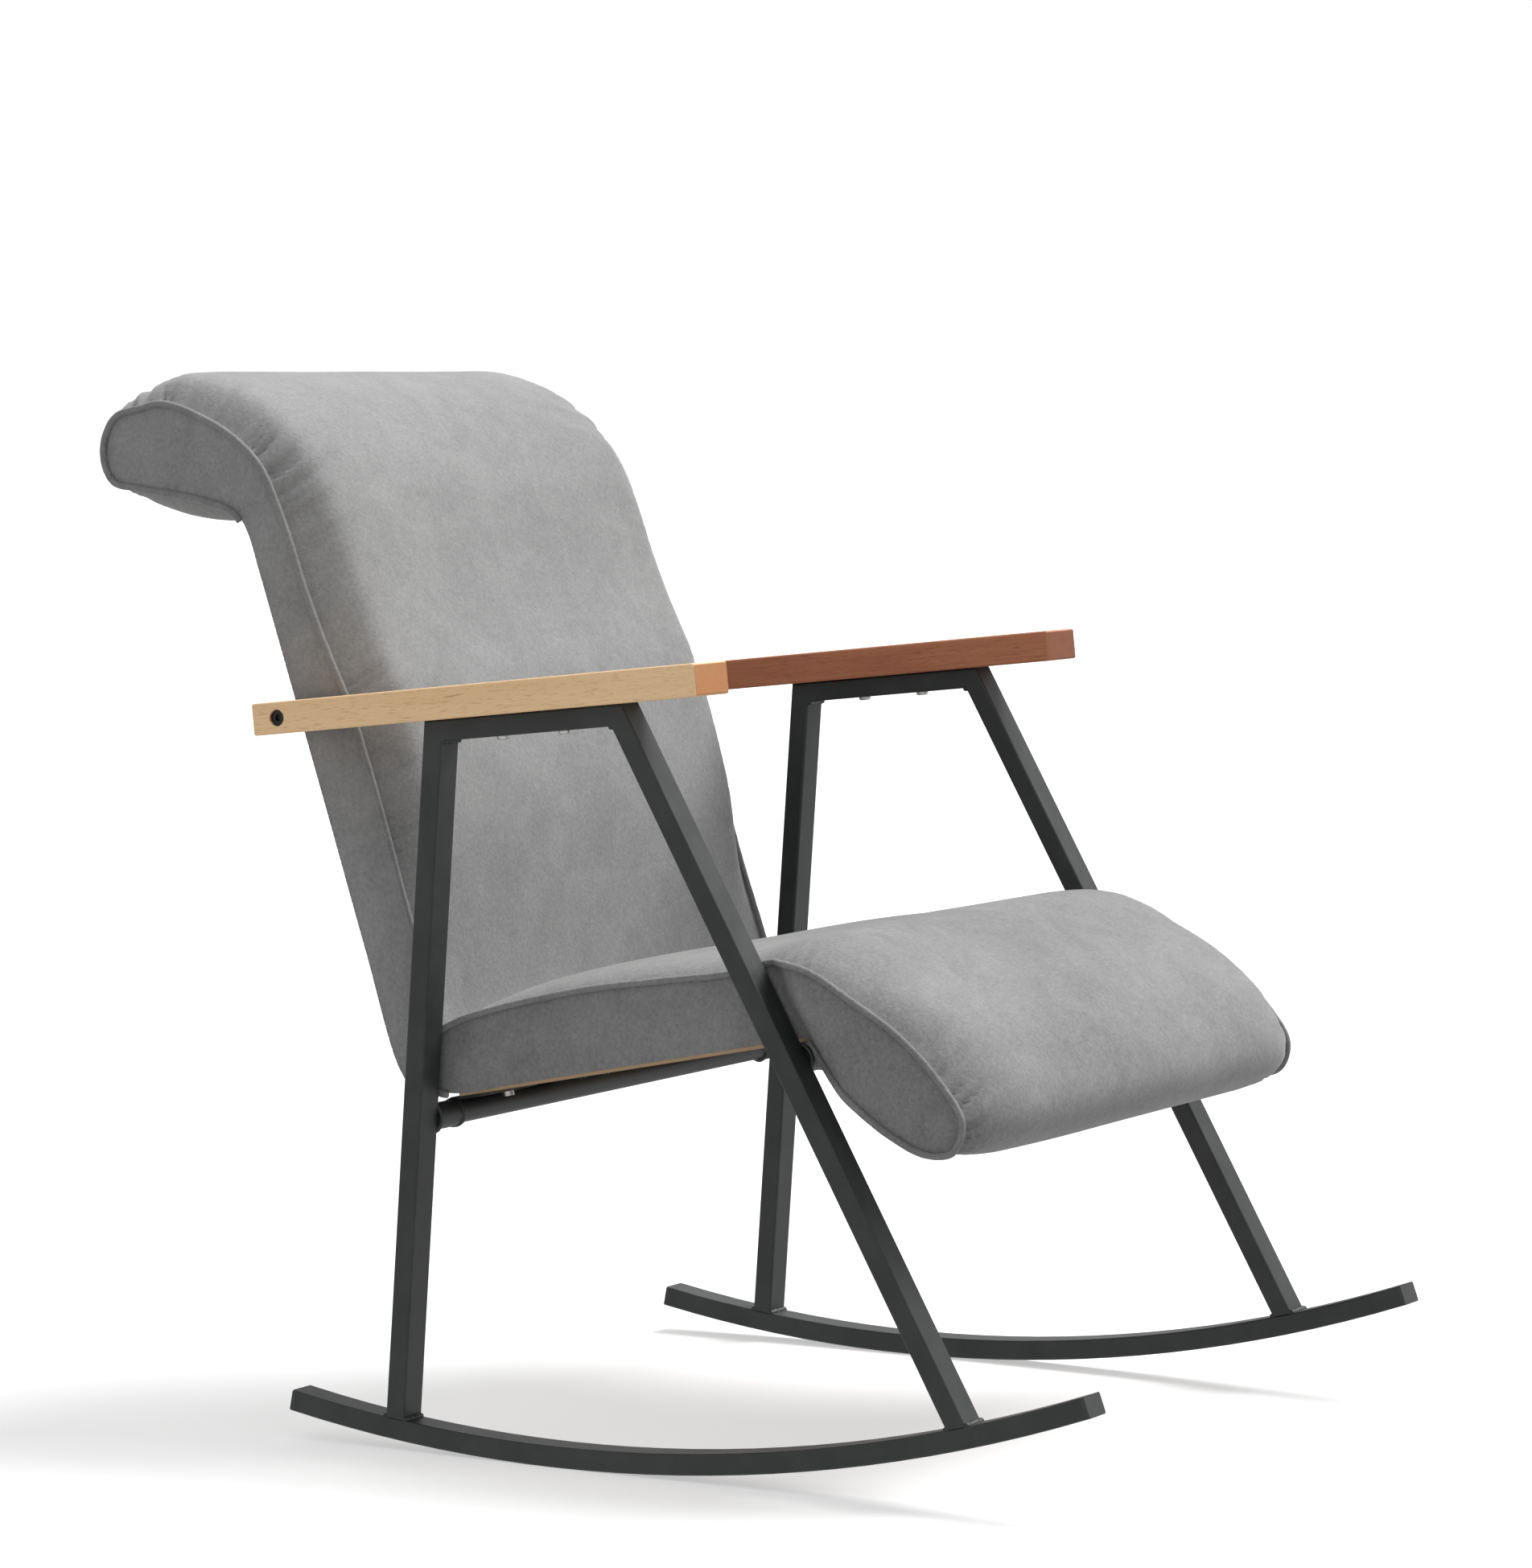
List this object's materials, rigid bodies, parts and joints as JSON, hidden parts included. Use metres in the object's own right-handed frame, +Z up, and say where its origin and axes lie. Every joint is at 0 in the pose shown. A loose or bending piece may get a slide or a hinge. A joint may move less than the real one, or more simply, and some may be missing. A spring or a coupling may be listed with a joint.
{
  "type": "rocking chair",
  "caption": "Upholstered rocking chair with a rolled headrest and waterfall seat on a tubular steel frame with curved runners and wooden armrests.",
  "frame": {"origin": "bottom centre of the chair's bounding box, on the floor, midway between the runners and a few millimetres from their line of contact", "axes": "+Z up, the chair faces -Y, +X towards the sitter's left"},
  "size_m": [0.63, 0.907, 0.8281],
  "materials": {
    "frame_coat": "satin",
    "right_arm_wood": "satin",
    "left_arm_wood": "satin",
    "seat_velvet": "matte",
    "back_velvet": "matte",
    "piping": "matte",
    "plywood": "matte",
    "pine": "matte",
    "black_plastic": "satin",
    "black_steel": "satin",
    "zinc": "satin"
  },
  "bodies": {
    "root": {"arm_bolts": "black_steel", "arm_inserts": "zinc", "arm_screws": "zinc", "back_board": "plywood", "back_cushion": "back_velvet", "back_rear_cover": "back_velvet", "bracket_screws": "zinc", "front_cross_tube": "frame_coat", "headrest_board": "plywood", "left_arm_rail": "frame_coat", "left_arm_spacer": "black_plastic", "left_armrest": "left_arm_wood", "left_back_bracket": "frame_coat", "left_back_piping": "piping", "left_back_stile": "pine", "left_front_leg": "frame_coat", "left_front_seat_tab": "frame_coat", "left_front_sleeve": "frame_coat", "left_rear_leg": "frame_coat", "left_rear_seat_tab": "frame_coat", "left_rear_sleeve": "frame_coat", "left_runner": "frame_coat", "left_runner_front_cap": "black_plastic", "left_runner_rear_cap": "black_plastic", "left_seat_piping": "piping", "rear_cross_tube": "frame_coat", "right_arm_rail": "frame_coat", "right_arm_spacer": "black_plastic", "right_armrest": "right_arm_wood", "right_back_bracket": "frame_coat", "right_back_piping": "piping", "right_back_stile": "pine", "right_front_leg": "frame_coat", "right_front_seat_tab": "frame_coat", "right_front_sleeve": "frame_coat", "right_rear_leg": "frame_coat", "right_rear_seat_tab": "frame_coat", "right_rear_sleeve": "frame_coat", "right_runner": "frame_coat", "right_runner_front_cap": "black_plastic", "right_runner_rear_cap": "black_plastic", "right_seat_piping": "piping", "seat_board": "plywood", "seat_bolts": "zinc", "seat_cushion": "seat_velvet", "seat_tee_nuts": "zinc"}
  },
  "joints": []
}
